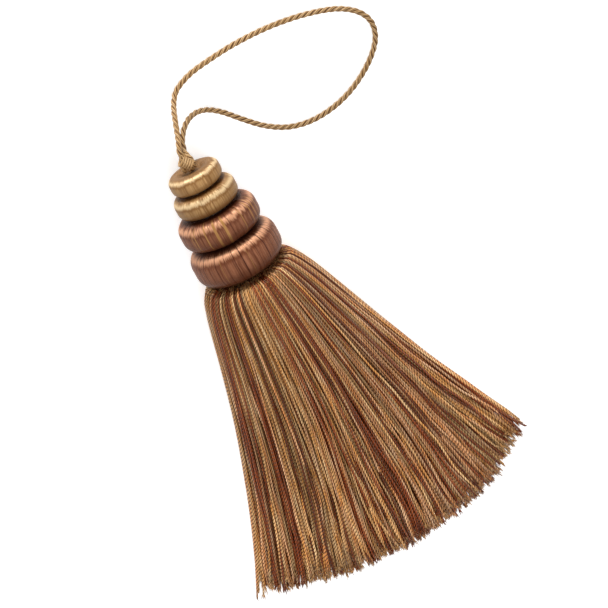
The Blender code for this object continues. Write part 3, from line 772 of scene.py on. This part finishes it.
# distance from the ring's underside, left, right, top, waist and foot in millimetres, and
# squareness of the lower corners
SECTIONS = np.array((
    (0.8, 13.2, 13.2, 29.4, 15.7, 1.6, 2.0),
    (2.0, 15.8, 16.4, 32.2, 15.0, 0.0, 2.3),
    (6.0, 17.9, 18.7, 33.4, 13.5, 0.0, 2.6),
    (14.0, 20.1, 21.9, 31.6, 10.0, 0.0, 3.4),
    (32.0, 24.2, 28.2, 24.5, 5.0, 0.0, 4.0),
    (62.0, 31.8, 39.6, 15.5, 2.0, 0.0, 4.0),
    (96.0, 42.6, 53.6, 10.2, 0.9, 0.0, 4.0),
    (132.0, 58.0, 70.0, 7.6, 0.7, 0.0, 4.0),
))
# Streaks of red-brown: share of the skirt to the left, half width, strength
RED_STREAKS = (
    (0.022, 0.006, 0.8), (0.09, 0.016, 0.85), (0.2, 0.006, 0.35), (0.335, 0.012, 0.75),
    (0.43, 0.006, 0.4), (0.475, 0.01, 0.85), (0.535, 0.014, 0.9), (0.7, 0.012, 0.75),
    (0.835, 0.014, 0.75), (0.993, 0.009, 0.85))
# How much shorter the yarns are cut here and there: place across the cut edge, and how much, both
# in millimetres
CUT_SHORT = np.array((
    (-58.0, -3.5), (-50.0, -4.0), (-44.0, 1.6), (-27.0, 3.6), (-20.0, 2.8), (-10.0, 2.1),
    (0.0, 1.6), (6.0, 0.5), (16.0, 1.2), (24.0, 0.5), (30.0, -0.3), (40.0, 1.2), (46.0, 3.2),
    (52.0, 3.4), (58.0, 1.0), (64.0, 0.3)))
# The cut edge is a bow that slants to the right, with the upper yarns a little shorter. In
# millimetres: bow and slant by the place across, setback of the top yarn, and unevenness
END_BOW = 0.0048
END_SLANT = 0.022
END_SETBACK = 3.0
END_UNEVEN = 2.6
rng = np.random.default_rng(23)
number = np.arange(YARN_COUNT)
across = (number + 0.5) / YARN_COUNT
up = (number * GOLDEN_SHARE) % 1.0

# Where every yarn lies in each of many sections of the skirt. The table of sections is smoothed,
# so that none of its rows shows as a bend.
ROOT_DEPTH = 0.8
far = np.geomspace(ROOT_DEPTH, 134.0, 160)
table = np.stack([np.interp(far, SECTIONS[:, 0], column) for column in SECTIONS.T], axis=1)
window = np.hanning(23)[1:-1]
window /= window.sum()
padded = np.pad(table, ((10, 10), (0, 0)), mode="reflect", reflect_type="odd")
table = np.stack([np.convolve(column, window, mode="valid") for column in padded.T], axis=1)
section_x = np.zeros((len(far), YARN_COUNT))
section_z = np.zeros((len(far), YARN_COUNT))
rise = np.maximum(0.0, up - FLOOR_SHARE) / (1.0 - FLOOR_SHARE)
for row, (_, left, right, top, waist, foot, square) in enumerate(table):
    xs = np.linspace(-left, right, 481)
    share = np.clip(np.abs(xs) / np.where(xs < 0.0, left, right), 0.0, 1.0)
    ceiling = waist + (top - waist) * np.sqrt(1.0 - share ** 2)
    bottom = waist - (waist - foot) * (1.0 - share ** square) ** (1.0 / square)
    depth = ceiling - bottom
    filled = np.concatenate(([0.0], np.cumsum(0.5 * (depth[1:] + depth[:-1]) * np.diff(xs))))
    lean = 0.15 * np.sin(math.pi * across) ** 1.2 * (1.0 - far[row] / far[-1]) ** 1.2
    section_x[row] = np.interp(across + lean, filled / filled[-1], xs)
    low = np.interp(section_x[row], xs, bottom)
    room = np.maximum(np.interp(section_x[row], xs, depth) - 2.0 * YARN_RADIUS / MM, 0.0)
    section_z[row] = low + YARN_RADIUS / MM + room * rise

# Each yarn's own path: it wanders a little between its neighbours, more towards the cut end
along = np.concatenate((np.linspace(0.0, 0.06, 6)[:-1], np.linspace(0.06, 0.24, 5)[:-1],
                        np.linspace(0.24, 1.0, 15)))
NEAR_CUT = -8
end_x = section_x[NEAR_CUT]
length = YARN_LENGTH / MM - END_BOW * end_x ** 2 - END_SLANT * end_x - END_SETBACK * up
length -= np.interp(end_x, CUT_SHORT[:, 0], CUT_SHORT[:, 1])
length += END_UNEVEN * rng.uniform(-1.0, 1.0, YARN_COUNT)
# 1 on the outermost yarn of either side, fading to 0 over its next neighbours
EDGE_YARNS = 9
outermost = np.maximum(0, EDGE_YARNS - np.minimum(number, YARN_COUNT - 1 - number)) / EDGE_YARNS
length -= 2.0 * outermost
reach = ROOT_DEPTH + along[None] * (length[:, None] - ROOT_DEPTH)
x = np.array([np.interp(reach[n], far, section_x[:, n]) for n in number])
z = np.array([np.interp(reach[n], far, section_z[:, n]) for n in number])

# Neighbours bend alike in one slow wave, and each yarn has three waves of its own: turns along
# it, and size in millimetres
OWN_WAVES = ((0.8, 1.3), (1.9, 0.6), (4.3, 0.25))
x += 0.9 * along ** 2 * np.sin(2.0 * math.pi * (1.3 * along + 2.1 * across[:, None]))
for turns, size in OWN_WAVES:
    phase = rng.uniform(0.0, 1.0, (YARN_COUNT, 1))
    strength = rng.normal(0.0, 1.0, (YARN_COUNT, 1)) * (1.0 - 0.8 * outermost[:, None])
    x += size * strength * along ** 1.3 * np.sin(2.0 * math.pi * (turns * along + phase))
    phase = rng.uniform(0.0, 1.0, (YARN_COUNT, 1))
    strength = rng.normal(0.0, 0.75, (YARN_COUNT, 1))
    z += size * strength * along ** 1.3 * np.sin(2.0 * math.pi * (turns * along + phase))

# The outermost yarns stray outwards and settle on the table, and no yarn sinks into it.
stray = (outermost * rng.uniform(0.5, 1.0, YARN_COUNT))[:, None]
x += np.where(across[:, None] < 0.5, -2.4 * along ** 6, 1.5 * along ** 3) * stray
z += (YARN_RADIUS / MM + 0.3 - z) * (stray > 0.0) * along ** 3
z = np.maximum(z, 1.25 * YARN_RADIUS / MM)
yarn_lines = MM * np.stack((x, HEAD_BACK / MM - reach, z), axis=-1)
thick = YARN_RADIUS * np.interp(along, (0.0, 0.03, 0.08, 0.5, 0.97, 1.0),
                                (0.75, 0.9, 1.0, 1.03, 1.18, 0.8))
thick = thick[None] * rng.uniform(0.86, 1.06, (YARN_COUNT, 1))

# Which yarns are red-brown, tan and gold. The six at the far left are never red-brown.
red_share = np.interp(across, (0.1, 0.2, 0.65, 0.75), (0.18, 0.11, 0.12, 0.22))
red_share[:6] = 0.0
for middle, half, strength in RED_STREAKS:
    red_share = np.maximum(red_share, strength * np.exp(-((across - middle) / half) ** 2))
draw = rng.uniform(0.0, 1.0, YARN_COUNT)
is_red = draw < red_share
tan_share = 0.3 + 0.16 * np.sin(2.0 * math.pi * (across - 0.42))
is_tan = ~is_red & (draw < red_share + tan_share)
is_gold = ~is_red & ~is_tan
YARNS = (
    ("gold_yarns", is_gold,
     {"Colour": (0.66, 0.295, 0.076, 1.0), "Painted Groove Shade Colour": (0.12, 0.032, 0.006, 1.0),
      "Faded Colour": (0.78, 0.51, 0.25, 1.0)}),
    ("tan_yarns", is_tan,
     {"Colour": (0.62, 0.25, 0.078, 1.0), "Painted Groove Shade Colour": (0.11, 0.026, 0.006, 1.0),
      "Faded Colour": (0.73, 0.44, 0.24, 1.0)}),
    ("red_brown_yarns", is_red,
     {"Colour": (0.205, 0.037, 0.007, 1.0), "Painted Groove Shade Colour": (0.04, 0.005, 0.001, 1.0),
      "Faded Colour": (0.32, 0.08, 0.02, 1.0)}),
)
YARN_RIDGE = 0.22 * MM
YARN_ROUGHNESS = 0.32
YARN_GLINT = 0.55
TUFT_FIBRES = 5
TUFT_SIDES = 4
TUFT_RADII = MM * np.array([[0.16, 0.13, 0.06]])
for name, chosen, colours in YARNS:
    # Painted shade near each yarn's root, and painted light towards its cut end.
    values = {**colours, "Ridges": 2.0, "Turn Length": -3.0, "Fibre Contrast": 0.5, "Twist At Root": 0.75,
              "Shade Spread": 0.85, "Painted Root Shading": 0.96, "Painted End Shading": 1.04}
    material = thread_material(name.replace("_", " "), values, YARN_RIDGE, YARN_ROUGHNESS, YARN_GLINT)
    for half, part_of in (("left", across < 0.5), ("right", across >= 0.5)):
        both = chosen & part_of
        yarns = tube_mesh(name + "_" + half, yarn_lines[both], thick[both], YARN_SIDES, material,
                          rng.uniform(0.0, 1.0, int(both.sum())))
        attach(yarns, "root")
        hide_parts("skirt")

    # At its cut end each yarn opens into a small tuft of fibres, none of them under the table.
    ends = yarn_lines[chosen][:, -1]
    ahead = yarn_lines[chosen][:, -1] - yarn_lines[chosen][:, -3]
    ahead /= np.linalg.norm(ahead, axis=1, keepdims=True)
    tufts = []
    for end, direction in zip(ends, ahead):
        for _ in range(TUFT_FIBRES):
            spread = rng.normal(0.0, 1.0, 3)
            spread[2] = abs(spread[2]) * 0.5
            step = direction + 0.35 * spread
            start = end - 0.9 * MM * direction + 0.22 * MM * spread
            size = rng.uniform(0.7, 1.5) * MM
            tip = start + size * direction + 0.4 * size * step
            bend = 0.5 * (start + tip) + 0.12 * MM * rng.normal(0.0, 1.0, 3)
            points = np.array([start, bend, tip])
            points[:, 2] = np.maximum(points[:, 2], 0.12 * MM)
            tufts.append(points)
    tufts = np.array(tufts)
    tuft = tube_mesh(name.replace("yarns", "yarn_ends"), tufts, TUFT_RADII, TUFT_SIDES, material,
                     rng.uniform(0.0, 1.0, len(tufts)))
    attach(tuft, "root")
    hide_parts("skirt")

# The bounds of every shown piece but the floor
low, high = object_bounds()
